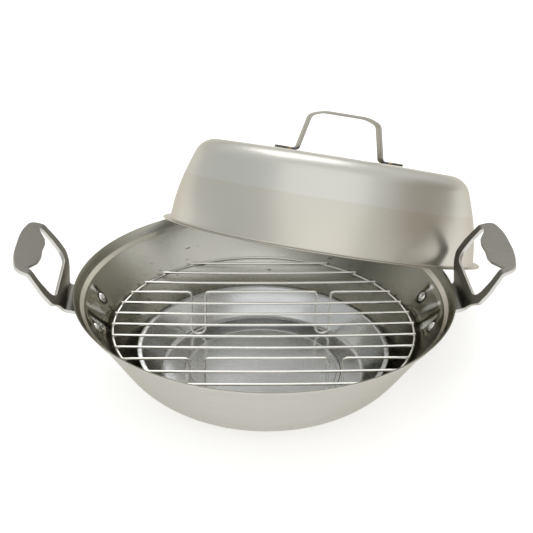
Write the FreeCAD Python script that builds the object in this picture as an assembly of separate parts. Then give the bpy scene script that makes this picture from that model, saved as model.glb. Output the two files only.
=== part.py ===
"""Stovetop smoker: a spun steel bowl with two sheet handles, a drip pan,
a wire rack that stands in the pan, and a deep lid leaning on the back of the bowl.

Millimetres. +Z is up, +X is to the right, +Y is towards the back.
The origin is the centre of the bowl's flat base, on the surface it stands on.
"""
import FreeCAD, Part
import math
import os

os.makedirs("parts", exist_ok=True)
V = FreeCAD.Vector

# ---------------------------------------------------------------- driving dimensions
# bowl
RIM_RADIUS = 150.0        # outermost edge of the rim
BOWL_HEIGHT = 80.0        # base to rim
BOWL_SHEET = 1.0
BASE_CURVE = 64.5         # inside radius where the base turns up into the wall
WALL_ANGLE = 32.5         # wall, from the vertical
LIP_ANGLE = 35.0          # flared lip above the lid seat, from the vertical
SEAT_DROP = 6.3           # rim down to the outer edge of the lid seat
SEAT_WIDTH = 3.3          # ledge that carries the lid
SEAT_FALL = 2.5           # how far the ledge slopes down inwards
SEAT_BEND = 1.2           # inside radius of the two folds of the step

# side handles
HANDLE_SHEET = 3.0
HANDLE_REACH = 42.2       # rim to the tip of the grip
GRIP_LENGTH = 16.2        # fold at the top of the arms to the tip of the grip
GRIP_RISE = 34.2          # fold above the rim
GRIP_SLOPE = 20.0         # grip, from the horizontal
FOOT_REACH = 5.4          # rim to the foot of the riser
FOOT_DROP = 8.0           # that foot below the rim
LEAN_REACH = 6.75         # rim to where the arms lean out
LEAN_RISE = 4.9           # that place above the rim
LEAN_BEND = 18.0          # radius there
SHELF_DROP = 11.0         # rim down to the bend over the mounting plate
NECK_HALF_WIDTH = 21.0
SHOULDER_HALF_WIDTH = 44.8
SHOULDER_RISE = 10.0      # widest corner of the neck above the rim
ARM_OUT_HALF_WIDTH = 46.3
ARM_TOP_HALF_WIDTH = 43.0
ARM_IN_HALF_WIDTH = 35.8
GRIP_HALF_WIDTH = 41.5
GRIP_TIP_HALF_WIDTH = 21.0
OPENING_RISE = 8.8        # foot of the finger opening above the rim
OPENING_BEND = 10.0       # its lower corners
TONGUE_DEPTH = 4.8        # how far the grip reaches back over the opening
TONGUE_NOTCH = 0.6        # dip in the middle of that edge
TONGUE_HALF_WIDTH = 33.0
HANDLE_BEND = 3.0         # inside radius of the folds
HANDLE_GAP = 0.1          # between the bowl and the mounting plate
PLATE_HALF_WIDTH = 29.5
PLATE_CORNER = 5.0
PLATE_DROP = 34.0         # rim down to the lower end of the mounting plate

# rivets
RIVET_SPACING = 48.0
RIVET_DROP = 23.0         # rim down to the rivets, along the vertical
RIVET_SHANK = 4.0
RIVET_HEAD = 8.6
RIVET_HEAD_HEIGHT = 2.2
RIVET_FIT = 0.05          # radial play of the shank

# drip pan
PAN_FLOOR_RADIUS = 82.0
PAN_RIM_RADIUS = 101.3
PAN_LIP = 3.4
PAN_DEPTH = 22.4
PAN_SHEET = 0.8
PAN_CORNER = 5.0
PAN_LIP_BEND = 1.0
PAN_RING_RADIUS = 62.0    # shallow pressed ring in the floor
PAN_RING_WIDTH = 3.0
PAN_RING_HEIGHT = 0.5

# rack
WIRE = 2.2
RING_MARGIN = 4.1         # bowl's wall to the axis of the ring wire, level with the ring
WIRE_COUNT = 13
OUTER_WIRE = 15.2         # first and last cross wire, in from the axis of the ring
WIRE_OVERHANG = 1.0       # cross wires past the axis of the ring
WIRE_SAG = 1.6            # middle of the longest cross wire below its ends
LEG_WIRES = (4, 10)       # counted from the back
LEG_DROP = 40.4           # wire axis down to the axis of the foot
LEG_OFFSET = 53.0         # middle of each leg from the middle of the rack
LEG_WIDTH = 11.8          # between the axes of a leg's two sides
LEG_BEND = 3.4

# lid
LID_SHEET = 1.0
LID_PLAY = 2.0            # flange to the lip of the bowl, when the lid is on
LID_FLANGE = 5.6
LID_FLANGE_BEND = 1.6
LID_HEIGHT = 76.9         # mouth to the top of the crown
LID_CROWN = 1.45          # rise of the crown
LID_CROWN_FLAT = 55.0     # radius where the crown starts to fall
LID_SHOULDER_RADIUS = 119.0
LID_SHOULDER_BEND = 19.5
LID_WAIST_RADIUS = 134.8  # where the two slopes of the wall meet
LID_WAIST_HEIGHT = 30.5
LID_WAIST_BEND = 180.0
LEAN_AZIMUTH = 66.95       # direction from the bowl's axis to the leaning lid, from +X
LEAN_TILT = 22.75
REST_CLEARANCE = 0.3      # lid to rim, lid to table, pan to bowl, rack to pan

# lid handle
STRAP = 2.1
STRAP_WIDTH = 18.0
STRAP_FOOT_END = 58.0
STRAP_FOOT_START = 39.5
STRAP_TOP_HALF = 32.2
STRAP_HEIGHT = 38.3       # crown of the lid to the top of the strap
STRAP_CROWN = 4.5         # rise of the top of the strap
STRAP_CROWN_HALF = 21.0
STRAP_FOOT_BEND = 2.2
STRAP_TOP_BEND = 5.5
STRAP_OFFSET = 3.8        # middle of the strap from the lid's axis
STRAP_TURN = 2.0          # turn of the strap about the lid's axis


# ---------------------------------------------------------------- plane geometry
def polar(angle):
    """Unit vector in the plane at an angle in degrees."""
    return (math.cos(math.radians(angle)), math.sin(math.radians(angle)))


def unit(a, b):
    """Unit vector from plane point a to plane point b."""
    length = math.hypot(b[0] - a[0], b[1] - a[1])
    return ((b[0] - a[0]) / length, (b[1] - a[1]) / length)


def turn_angle(a, b, c):
    """Signed turn in radians at b, on the way from a to c."""
    d, e = unit(a, b), unit(b, c)
    return math.atan2(d[0] * e[1] - d[1] * e[0], d[0] * e[0] + d[1] * e[1])


def offset_points(points, distance):
    """Corners of the path that runs at a distance to the right of a path of straight runs."""
    result = []
    for i, p in enumerate(points):
        before = unit(points[i - 1], p) if i > 0 else unit(p, points[i + 1])
        after = unit(p, points[i + 1]) if i < len(points) - 1 else before
        normal = (before[1] + after[1], -before[0] - after[0])
        scale = distance / (1.0 + before[0] * after[0] + before[1] * after[1])
        result.append((p[0] + normal[0] * scale, p[1] + normal[1] * scale))
    return result


def fitting_radii(points, radii):
    """The corner radii, made smaller where the arcs at both ends of a run would meet."""
    reaches = [0.0]
    for before, corner, after, radius in zip(points, points[1:], points[2:], radii):
        reaches.append(radius * math.tan(abs(turn_angle(before, corner, after)) / 2))
    reaches.append(0.0)
    shares = []
    for a, b, reach_a, reach_b in zip(points, points[1:], reaches, reaches[1:]):
        run = 0.98 * math.dist(a, b)
        shares.append(run / (reach_a + reach_b) if reach_a + reach_b > run else 1.0)
    return [radius * min(before, after) for radius, before, after in zip(radii, shares, shares[1:])]


def rounded_edges(points, radii, place):
    """Straight runs through the points joined by tangent arcs; place maps (a, b) to space."""
    edges = []
    start = points[0]
    for before, corner, after, radius in zip(points, points[1:], points[2:], fitting_radii(points, radii)):
        turn = turn_angle(before, corner, after)
        reach = radius * math.tan(abs(turn) / 2)
        d, e = unit(before, corner), unit(corner, after)
        enter = (corner[0] - d[0] * reach, corner[1] - d[1] * reach)
        leave = (corner[0] + e[0] * reach, corner[1] + e[1] * reach)
        inward = unit(corner, (corner[0] - d[0] + e[0], corner[1] - d[1] + e[1]))
        depth = radius / math.cos(turn / 2) - radius
        middle = (corner[0] + inward[0] * depth, corner[1] + inward[1] * depth)
        edges.append(Part.LineSegment(place(start), place(enter)).toShape())
        edges.append(Part.Arc(place(enter), place(middle), place(leave)).toShape())
        start = leave
    edges.append(Part.LineSegment(place(start), place(points[-1])).toShape())
    return edges


def upright(p):
    """Plane point (radius or x, height) in the XZ plane."""
    return V(p[0], 0, p[1])


def flat(p):
    """Plane point (x, y) in the XY plane."""
    return V(p[0], p[1], 0)


def across(p):
    """Plane point (y, z) in the YZ plane."""
    return V(0, p[0], p[1])


def sheet_section(points, radii, thickness):
    """Section of bent sheet: the path is one face, the metal lies to its right.

    Each radius is that of the path's own face.
    """
    other = offset_points(points, thickness)
    other_radii = []
    for before, corner, after, radius in zip(points, points[1:], points[2:], radii):
        left_turn = turn_angle(before, corner, after) > 0
        other_radii.append(radius + thickness if left_turn else radius - thickness)
    edges = rounded_edges(points, radii, upright)
    back = rounded_edges(other, other_radii, upright)
    edges.append(Part.LineSegment(upright(points[-1]), upright(other[-1])).toShape())
    edges.append(Part.LineSegment(upright(points[0]), upright(other[0])).toShape())
    return Part.Face(Part.Wire(Part.__sortEdges__(edges + back)))


def spun(section):
    """Full turn of a section about the Z axis."""
    return section.revolve(V(0, 0, 0), V(0, 0, 1), 360)


def outline_prism(points, radii, low, high):
    """Upright prism on a closed outline with rounded corners."""
    middle = ((points[0][0] + points[-1][0]) / 2, (points[0][1] + points[-1][1]) / 2)
    loop = [middle] + list(points) + [middle]
    wire = Part.Wire(rounded_edges(loop, radii, flat))
    wire.translate(V(0, 0, low))
    return Part.Face(wire).extrude(V(0, 0, high - low))


def front_prism(points, radii, low, high):
    """Level prism along X, from x = low to x = high, on a closed outline of (y, z) points."""
    middle = ((points[0][0] + points[-1][0]) / 2, (points[0][1] + points[-1][1]) / 2)
    loop = [middle] + list(points) + [middle]
    wire = Part.Wire(rounded_edges(loop, radii, across))
    wire.translate(V(low, 0, 0))
    return Part.Face(wire).extrude(V(high - low, 0, 0))


def both_sides(half):
    """Outline of a shape that is the same on both sides of y = 0, from its half at y > 0."""
    return half + [(-y, z) for y, z in reversed(half)]


def round_wire(edges, start, direction):
    """Round wire along a path of edges."""
    path = Part.Wire(edges)
    profile = Part.Wire(Part.makeCircle(WIRE / 2, start, direction))
    solid = path.makePipeShell([profile], True, False)
    return solid


def outward(shape):
    """The shape as one solid with its faces pointing out."""
    solid = shape.Solids[0] if shape.Solids else Part.Solid(shape)
    if solid.Volume < 0:
        solid.reverse()
    return solid


def save(name, shape):
    """Write one sub-part and print what it is."""
    shape.exportStep("parts/" + name + ".step")
    box = shape.BoundBox
    print("%-16s solids %d valid %s volume %9.1f  x %.1f..%.1f  y %.1f..%.1f  z %.1f..%.1f" % (
        name, len(shape.Solids), shape.isValid(), shape.Volume,
        box.XMin, box.XMax, box.YMin, box.YMax, box.ZMin, box.ZMax))


# ---------------------------------------------------------------- bowl
lip_cos = math.cos(math.radians(LIP_ANGLE))
wall_tan = math.tan(math.radians(WALL_ANGLE))
rim_in = (RIM_RADIUS - BOWL_SHEET * lip_cos, BOWL_HEIGHT)
seat_out = (rim_in[0] - SEAT_DROP * math.tan(math.radians(LIP_ANGLE)), BOWL_HEIGHT - SEAT_DROP)
seat_in = (seat_out[0] - SEAT_WIDTH, seat_out[1] - SEAT_FALL)
base_corner = (seat_in[0] - (seat_in[1] - BOWL_SHEET) * wall_tan, BOWL_SHEET)
bowl_points = [(0.0, BOWL_SHEET), base_corner, seat_in, seat_out, rim_in]
bowl_radii = [BASE_CURVE, BOWL_SHEET + SEAT_BEND, SEAT_BEND]
bowl_outer = offset_points(bowl_points, BOWL_SHEET)


def wall_radius(z):
    """Outside radius of the bowl's straight wall at a height."""
    return bowl_outer[2][0] - (bowl_outer[2][1] - z) * wall_tan


# ---------------------------------------------------------------- rivets
rivet_z = BOWL_HEIGHT - RIVET_DROP
rivet_radius = wall_radius(rivet_z)
rivet_turn = math.degrees(math.asin(RIVET_SPACING / 2 / rivet_radius))
wall_normal = V(math.cos(math.radians(WALL_ANGLE)), 0, -math.sin(math.radians(WALL_ANGLE)))


def at_rivet(shape, side, turn):
    """A shape drawn along +Z at the origin, set on the outside of the wall at one rivet."""
    shape = shape.copy()
    spot = FreeCAD.Placement(V(rivet_radius, 0, rivet_z), FreeCAD.Rotation(V(0, 0, 1), wall_normal))
    heading = turn if side > 0 else 180 - turn
    about = FreeCAD.Placement(V(0, 0, 0), FreeCAD.Rotation(V(0, 0, 1), heading))
    shape.Placement = about.multiply(spot)
    return shape


def rivet_head():
    """Low domed head standing on the XY plane."""
    half = RIVET_HEAD / 2
    dome = (half * half + RIVET_HEAD_HEIGHT * RIVET_HEAD_HEIGHT) / (2 * RIVET_HEAD_HEIGHT)
    ball = Part.makeSphere(dome, V(0, 0, RIVET_HEAD_HEIGHT - dome))
    return ball.common(Part.makeCylinder(half, RIVET_HEAD_HEIGHT, V(0, 0, 0)))


def rivet():
    """Rivet with the outside of the bowl's wall at z = 0 and its shop head inside."""
    grip_out = HANDLE_GAP + HANDLE_SHEET
    shank = Part.makeCylinder(RIVET_SHANK / 2, BOWL_SHEET + grip_out, V(0, 0, -BOWL_SHEET))
    outer = rivet_head()
    outer.translate(V(0, 0, grip_out))
    inner = rivet_head().mirror(V(0, 0, 0), V(0, 0, 1))
    inner.translate(V(0, 0, -BOWL_SHEET))
    return shank.fuse([outer, inner]).removeSplitter()


rivet_hole = Part.makeCylinder(RIVET_SHANK / 2 + RIVET_FIT, 4 * HANDLE_SHEET, V(0, 0, -2 * HANDLE_SHEET))
rivets = {
    "rivet_left_front": (-1, -rivet_turn),
    "rivet_left_back": (-1, rivet_turn),
    "rivet_right_front": (1, -rivet_turn),
    "rivet_right_back": (1, rivet_turn),
}

bowl = spun(sheet_section(bowl_points, bowl_radii, BOWL_SHEET))
bowl = bowl.cut([at_rivet(rivet_hole, side, turn) for side, turn in rivets.values()])

# ---------------------------------------------------------------- side handle, at +X
# The path is the face turned to the bowl and upwards; the metal lies to its right.
handle_end = RIM_RADIUS + HANDLE_REACH
grip_fold = (handle_end - GRIP_LENGTH, BOWL_HEIGHT + GRIP_RISE)
grip_dir = polar(GRIP_SLOPE)
plate_low_z = BOWL_HEIGHT - PLATE_DROP
plate_low = (wall_radius(plate_low_z) + HANDLE_GAP, plate_low_z)
wall_dir = (math.sin(math.radians(WALL_ANGLE)), math.cos(math.radians(WALL_ANGLE)))
plate_high_z = BOWL_HEIGHT - SHELF_DROP
plate_high = (wall_radius(plate_high_z) + HANDLE_GAP, plate_high_z)
plate_below = (plate_high[0] - wall_dir[0] * HANDLE_SHEET, plate_high[1] - wall_dir[1] * HANDLE_SHEET)
foot = (RIM_RADIUS + FOOT_REACH, BOWL_HEIGHT - FOOT_DROP)
lean = (RIM_RADIUS + LEAN_REACH, BOWL_HEIGHT + LEAN_RISE)
grip_run = GRIP_LENGTH + HANDLE_SHEET
grip_tip = (grip_fold[0] + grip_run, grip_fold[1] + grip_run * math.tan(math.radians(GRIP_SLOPE)))
outer_bend = HANDLE_BEND + HANDLE_SHEET
reach_y = ARM_OUT_HALF_WIDTH + HANDLE_SHEET
strip = sheet_section([plate_below, plate_high, foot, lean, grip_fold, grip_tip],
                      [outer_bend, HANDLE_BEND, LEAN_BEND, outer_bend], HANDLE_SHEET)
strip.translate(V(0, -reach_y, 0))
strip = strip.extrude(V(0, 2 * reach_y, 0))

# below the foot the strip is as wide as its neck, above it the arms spread
neck_z = foot[1] - 0.5
low_z, high_z = plate_high_z - 2 * HANDLE_SHEET, grip_tip[1] + HANDLE_SHEET
neck = strip.common(Part.makeBox(2 * RIM_RADIUS, 2 * NECK_HALF_WIDTH, neck_z - low_z,
                                 V(0, -NECK_HALF_WIDTH, low_z)))
arm_mid_z = (BOWL_HEIGHT + SHOULDER_RISE + grip_fold[1]) / 2
front_half = [
    (NECK_HALF_WIDTH, neck_z),
    (SHOULDER_HALF_WIDTH, BOWL_HEIGHT + SHOULDER_RISE),
    (ARM_OUT_HALF_WIDTH, arm_mid_z - 3.0),
    (ARM_TOP_HALF_WIDTH, grip_fold[1] - 0.5),
    (reach_y, high_z),
]
front_radii = [0.2, 6.0, 18.0, 2.0, 0.5]
front = front_prism(both_sides(front_half), front_radii + front_radii[::-1], RIM_RADIUS, 2 * RIM_RADIUS)
plan_half = [
    (RIM_RADIUS, reach_y),
    (grip_fold[0] - 8.0, reach_y),
    (grip_fold[0] + HANDLE_SHEET, ARM_TOP_HALF_WIDTH),
    (handle_end - 6.0, GRIP_HALF_WIDTH),
    (handle_end - 1.2, GRIP_TIP_HALF_WIDTH),
]
plan_radii = [0.5, 2.0, 2.0, 8.0, 110.0]
plan_outline = plan_half + [(x, -y) for x, y in reversed(plan_half)]
plan = outline_prism(plan_outline, plan_radii + plan_radii[::-1], neck_z, high_z)

opening_half = [
    (ARM_IN_HALF_WIDTH - 1.0, BOWL_HEIGHT + OPENING_RISE),
    (ARM_IN_HALF_WIDTH + 0.4, grip_fold[1] - 10.0),
    (TONGUE_HALF_WIDTH + 0.6, grip_fold[1] + 0.8),
]
opening_radii = [OPENING_BEND, OPENING_BEND, 0.8]
opening_prism = front_prism(both_sides(opening_half), opening_radii + opening_radii[::-1],
                            RIM_RADIUS, grip_fold[0] + HANDLE_SHEET)
arms = strip.common(plan).common(front).cut(opening_prism)

tongue_x = grip_fold[0] - TONGUE_DEPTH
tongue_half = [
    (grip_fold[0] + 2 * HANDLE_SHEET, TONGUE_HALF_WIDTH + 1.2),
    (grip_fold[0] + HANDLE_SHEET + 0.1, TONGUE_HALF_WIDTH + 1.0),
    (tongue_x + 1.2, TONGUE_HALF_WIDTH * 0.58), (tongue_x, TONGUE_HALF_WIDTH * 0.34),
]
tongue_radii = [0.5, 0.8, 8.0, 9.0]
tongue_outline = tongue_half + [(tongue_x + TONGUE_NOTCH, 0.0)] + [(x, -y) for x, y in reversed(tongue_half)]
tongue_plan = outline_prism(tongue_outline, tongue_radii + [7.0] + tongue_radii[::-1], low_z, high_z)
tongue_start = (grip_fold[0] - grip_dir[0] * 3 * TONGUE_DEPTH, grip_fold[1] - grip_dir[1] * 3 * TONGUE_DEPTH)
tongue = sheet_section([tongue_start, grip_tip], [], HANDLE_SHEET)
tongue.translate(V(0, -reach_y, 0))
tongue = tongue.extrude(V(0, 2 * reach_y, 0)).common(tongue_plan)

plate_front = front_prism(
    [(PLATE_HALF_WIDTH, plate_high_z + HANDLE_SHEET), (PLATE_HALF_WIDTH, plate_low_z),
     (-PLATE_HALF_WIDTH, plate_low_z), (-PLATE_HALF_WIDTH, plate_high_z + HANDLE_SHEET)],
    [0.5, PLATE_CORNER, PLATE_CORNER, 0.5], 0, 2 * RIM_RADIUS)
mount_plate = spun(sheet_section([plate_low, plate_high], [], HANDLE_SHEET)).common(plate_front)

handle = arms.fuse(neck).fuse(tongue).removeSplitter().fuse(mount_plate)
handle = outward(handle.cut([at_rivet(rivet_hole, side, turn) for side, turn in rivets.values() if side > 0]))
handle_left = handle.mirror(V(0, 0, 0), V(1, 0, 0))

# ---------------------------------------------------------------- drip pan
pan_wall = unit((PAN_FLOOR_RADIUS, 0.0), (PAN_RIM_RADIUS - PAN_LIP, PAN_DEPTH))
pan_turn = math.atan2(pan_wall[1], pan_wall[0])
pan_arc_x = PAN_FLOOR_RADIUS - PAN_CORNER * math.tan(pan_turn / 2)
bowl_arc = (base_corner[0] - BASE_CURVE * math.tan(math.radians(90 - WALL_ANGLE) / 2), BOWL_SHEET + BASE_CURVE)
arc_distance = BASE_CURVE - PAN_CORNER - PAN_SHEET - REST_CLEARANCE
pan_floor = bowl_arc[1] - math.sqrt(arc_distance ** 2 - (pan_arc_x - bowl_arc[0]) ** 2) - PAN_CORNER
ring_half = PAN_RING_WIDTH / 2
pan_points = [
    (0.0, pan_floor), (PAN_RING_RADIUS - ring_half - PAN_RING_HEIGHT, pan_floor),
    (PAN_RING_RADIUS - ring_half, pan_floor + PAN_RING_HEIGHT),
    (PAN_RING_RADIUS + ring_half, pan_floor + PAN_RING_HEIGHT),
    (PAN_RING_RADIUS + ring_half + PAN_RING_HEIGHT, pan_floor),
    (PAN_FLOOR_RADIUS, pan_floor), (PAN_RIM_RADIUS - PAN_LIP, pan_floor + PAN_DEPTH),
    (PAN_RIM_RADIUS, pan_floor + PAN_DEPTH),
]
pan_radii = [0.3, PAN_SHEET + 0.3, PAN_SHEET + 0.3, 0.3, PAN_CORNER, PAN_LIP_BEND + PAN_SHEET]
drip_pan = outward(spun(sheet_section(pan_points, pan_radii, PAN_SHEET)))

# ---------------------------------------------------------------- rack
wire_radius = WIRE / 2
foot_z = pan_floor + REST_CLEARANCE + wire_radius
wire_z = foot_z + LEG_DROP
ring_z = wire_z - WIRE
ring_radius = wall_radius(ring_z) - BOWL_SHEET / math.cos(math.radians(WALL_ANGLE)) - RING_MARGIN
wire_pitch = 2 * (ring_radius - OUTER_WIRE) / (WIRE_COUNT - 1)
rack_ring = Part.makeTorus(ring_radius, wire_radius, V(0, 0, ring_z), V(0, 0, 1))


def cross_wire(y):
    """Plain cross wire, sagging a little between its welds."""
    half = math.sqrt((ring_radius + WIRE_OVERHANG) ** 2 - y * y)
    sag = WIRE_SAG * (half / ring_radius) ** 2
    start, end = V(-half, y, wire_z), V(half, y, wire_z)
    arc = Part.Arc(start, V(0, y, wire_z - sag), end)
    return round_wire([arc.toShape()], start, arc.tangent(arc.FirstParameter)[0])


def leg_wire(y):
    """Cross wire folded down into two narrow U-shaped legs."""
    half = math.sqrt((ring_radius + WIRE_OVERHANG) ** 2 - y * y)
    side = LEG_WIDTH / 2
    points = [(-half, wire_z)]
    for middle in (-LEG_OFFSET, LEG_OFFSET):
        points += [(middle - side, wire_z), (middle - side, foot_z), (middle + side, foot_z), (middle + side, wire_z)]
    points.append((half, wire_z))
    radii = [LEG_BEND, side * 0.96, side * 0.96, LEG_BEND] * 2
    edges = rounded_edges(points, radii, lambda p: V(p[0], y, p[1]))
    return round_wire(edges, V(-half, y, wire_z), V(1, 0, 0))


# ---------------------------------------------------------------- lid, upright about its own axis
lid_radius = seat_out[0] - LID_PLAY
lid_wall_radius = lid_radius - LID_FLANGE
lid_points = [
    (lid_radius, LID_SHEET), (lid_wall_radius, LID_SHEET), (LID_WAIST_RADIUS, LID_WAIST_HEIGHT),
    (LID_SHOULDER_RADIUS, LID_HEIGHT - LID_CROWN), (LID_CROWN_FLAT, LID_HEIGHT), (0.0, LID_HEIGHT),
]
lid_points = [(x, z) for x, z in reversed(lid_points)]
crown_turn = math.atan2(LID_CROWN, LID_SHOULDER_RADIUS - LID_CROWN_FLAT)
crown_bend = 0.9 * LID_CROWN_FLAT / math.tan(crown_turn / 2)
lid_radii = [crown_bend * 0.9, LID_SHOULDER_BEND, LID_WAIST_BEND, LID_FLANGE_BEND]
lid_shell = spun(sheet_section(lid_points, lid_radii, LID_SHEET))

# strap handle: the path is the upper face, from the left foot to the right one
crown_z = LID_HEIGHT
foot_top = LID_HEIGHT + STRAP
strap_half = [
    (STRAP_FOOT_END, foot_top), (STRAP_FOOT_START, foot_top),
    (STRAP_TOP_HALF, crown_z + STRAP_HEIGHT - STRAP_CROWN),
    (STRAP_CROWN_HALF, crown_z + STRAP_HEIGHT),
]
strap_points = [(-x, z) for x, z in strap_half] + [(x, z) for x, z in reversed(strap_half)]
strap_radii_half = [STRAP_FOOT_BEND, STRAP_TOP_BEND + STRAP, 30.0]
strap = sheet_section(strap_points, strap_radii_half + strap_radii_half[::-1], STRAP)
strap.translate(V(STRAP_OFFSET, -STRAP_WIDTH / 2, 0))
lid_handle = strap.extrude(V(0, STRAP_WIDTH, 0))
lid_handle.rotate(V(0, 0, 0), V(0, 0, 1), STRAP_TURN)

# lean: the flange stands on the table at the back and the lid's mouth hooks over the rim
tilt = math.radians(LEAN_TILT)
toward = polar(LEAN_AZIMUTH)
lid_z = lid_radius * math.sin(tilt) + REST_CLEARANCE
mouth_in = lid_wall_radius - LID_SHEET
mouth_bend = LID_FLANGE_BEND + LID_SHEET
waist_in = (LID_WAIST_RADIUS - LID_SHEET, LID_WAIST_HEIGHT)


def mouth_gap(radius, height):
    """Distance from a point in the lid's own frame to the inside of its mouth."""
    if radius > mouth_in + mouth_bend:
        return -height
    if height < mouth_bend:
        return math.hypot(mouth_in + mouth_bend - radius, mouth_bend - height) - mouth_bend
    wall = unit((mouth_in, 0.0), waist_in)
    return wall[1] * (mouth_in - radius) + wall[0] * height


def rim_gap(distance):
    """Smallest distance from the bowl's rim to the leaning lid, its axis that far away."""
    gaps = []
    for radius, z in (bowl_outer[-1], rim_in):
        for step in range(1440):
            angle = math.pi * step / 1440
            along = radius * math.cos(angle) - distance
            rise = z - lid_z
            height = along * math.sin(tilt) + rise * math.cos(tilt)
            across = along * math.cos(tilt) - rise * math.sin(tilt)
            gaps.append(mouth_gap(math.hypot(across, radius * math.sin(angle)), height))
    return min(gaps)


near, far = lid_radius / 2, lid_radius + RIM_RADIUS / 2
for _ in range(30):
    lid_distance = (near + far) / 2
    if rim_gap(lid_distance) < REST_CLEARANCE:
        near = lid_distance
    else:
        far = lid_distance
lean_axis = V(-toward[1], toward[0], 0)
lean = FreeCAD.Placement(V(toward[0] * lid_distance, toward[1] * lid_distance, lid_z),
                         FreeCAD.Rotation(lean_axis, LEAN_TILT))
lid_shell.Placement = lean
lid_handle.Placement = lean.multiply(lid_handle.Placement)

# ---------------------------------------------------------------- sub-parts
save("bowl", outward(bowl))
save("handle_right", handle)
save("handle_left", outward(handle_left))
for name, (side, turn) in rivets.items():
    save(name, outward(at_rivet(rivet(), side, turn).cut(bowl)))
save("drip_pan", drip_pan)
save("rack_ring", rack_ring)
for number in range(1, WIRE_COUNT + 1):
    wire_y = ((WIRE_COUNT + 1) / 2 - number) * wire_pitch
    if number in LEG_WIRES:
        save("rack_leg_wire_%02d" % number, outward(leg_wire(wire_y)))
    else:
        save("rack_wire_%02d" % number, outward(cross_wire(wire_y)))
save("lid_shell", outward(lid_shell))
save("lid_handle", outward(lid_handle))
print("pan floor %.2f  wires %.2f  ring radius %.2f  pitch %.3f  lid centre %.2f, %.2f, %.2f  axis %s" % (
    pan_floor, wire_z, ring_radius, wire_pitch, lean.Base.x, lean.Base.y, lean.Base.z, lean.Rotation.multVec(V(0, 0, 1))))
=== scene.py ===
"""Stovetop smoker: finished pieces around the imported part, with a plain studio."""
import math

import bmesh
import bpy
from mathutils import Matrix, Vector


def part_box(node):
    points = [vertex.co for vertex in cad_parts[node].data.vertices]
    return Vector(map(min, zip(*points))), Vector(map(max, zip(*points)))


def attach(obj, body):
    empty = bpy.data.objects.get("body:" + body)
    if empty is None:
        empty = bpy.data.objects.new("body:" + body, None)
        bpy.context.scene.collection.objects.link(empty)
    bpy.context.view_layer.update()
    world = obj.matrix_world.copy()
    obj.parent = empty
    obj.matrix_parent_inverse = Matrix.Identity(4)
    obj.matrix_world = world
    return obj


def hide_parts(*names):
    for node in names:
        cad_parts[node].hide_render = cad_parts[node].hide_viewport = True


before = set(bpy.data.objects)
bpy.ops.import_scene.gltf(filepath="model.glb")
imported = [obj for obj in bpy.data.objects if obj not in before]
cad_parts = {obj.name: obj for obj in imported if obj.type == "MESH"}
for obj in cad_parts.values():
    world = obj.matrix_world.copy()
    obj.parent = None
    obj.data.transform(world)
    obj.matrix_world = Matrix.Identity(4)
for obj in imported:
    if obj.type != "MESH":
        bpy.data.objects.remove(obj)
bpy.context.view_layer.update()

bl_info = {
    "name": "Stovetop Smoker",
    "version": (1, 0, 0),
    "blender": (4, 5, 0),
    "location": "View3D > Sidebar > Smoker",
    "description": "Builds the bowl, handles, drip pan, rack and lid of a stovetop smoker",
    "category": "Add Mesh",
}

MM = 0.001
RACK_WIRES = sorted(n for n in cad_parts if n.startswith("rack_wire"))
LEG_WIRES = sorted(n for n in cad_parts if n.startswith("rack_leg_wire"))
RIVETS = sorted(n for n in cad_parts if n.startswith("rivet"))
MERGE = 1e-6  # points nearer than this are one
EDGE_ANGLE = 35.0  # degrees from which a fold shows as an edge
WIRE_EDGE_ANGLE = 60
SHEET_EDGE_ANGLE = 50
RIVET_EDGE_ANGLE = 40
FACE_LENGTH = 6 * MM  # longest face of a spun sheet along its section
STRAP_SHIFT = 3.8 * MM  # middle of the strap from the lid's axis

# grain of the steel
GRAZING_TINT = (0.62, 0.59, 0.53, 1)  # of steel seen at a low angle
GRAIN_DEPTH = 0.02 * MM
BRUSHED = (20, 900, 900)  # noise per metre along x, y and z
TUMBLED = (300, 300, 300)
WALL_SHARE = 0.83  # turning marks per height, to those per radius

# inside of the bowl; each pair is where a mark begins and where it is full
# painted shade: the inside of the bowl is much darker than the outside of the same sheet
INSIDE_PAINTED_SHADE = (0.325, 0.322, 0.27)
BACK_PAINTED_LIGHT = (0.97, 0.975, 0.925)  # painted light on the back wall
BACK_LIGHT_TURN = 0.14  # turns the painted light to the left
BACK_LIGHT_DEPTH = (74 * MM, 128 * MM)  # towards the back
BACK_LIGHT_HEIGHT = (26 * MM, 42 * MM)  # above the base
SPECK_STRETCH = (130.0, 260.0, 420.0)
SPECK_LEVEL = (0.775, 0.82)
SPECK_COLOUR = (0.22, 0.215, 0.185)
SEAT_EDGE = (141.4 * MM, 141.9 * MM)  # from the axis
# painted highlight on the upward-facing lid seat
SEAT_HIGHLIGHT = (0.66, 0.64, 0.57)
LIP_EDGE = (144.6 * MM, 145.2 * MM)  # from the axis
RIVET_X, RIVET_Y, RIVET_Z = 129.4 * MM, 23.6 * MM, 57.5 * MM
RIVET_SLANT = 1.18  # length along the wall per height
SHADOW_RING_SIDE = (-16 * MM, -9 * MM)  # from the rivets, outwards
SHADOW_RING_EDGE = (5.2 * MM, 7.0 * MM)  # painted shadow ring, from the middle of a rivet
SHADOW_RING_COLOUR = (0.06, 0.058, 0.05)
DENT_SIDE = (-10 * MM, -2 * MM)  # from the rivets, outwards
DENT_HALF = (22 * MM, 30 * MM)  # to the front and to the back
DENT_TOP = (138.5 * MM, 141.0 * MM)  # from the axis
DENT_DEPTH = 1.8 * MM
# painted reflections: bright streaks in the dents between the rivets
GLINT_LEVEL = (0.54, 0.64)
GLINT_COLOUR = (0.86, 0.88, 0.90)
RUBBED_ROUGHNESS = 0.14

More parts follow.
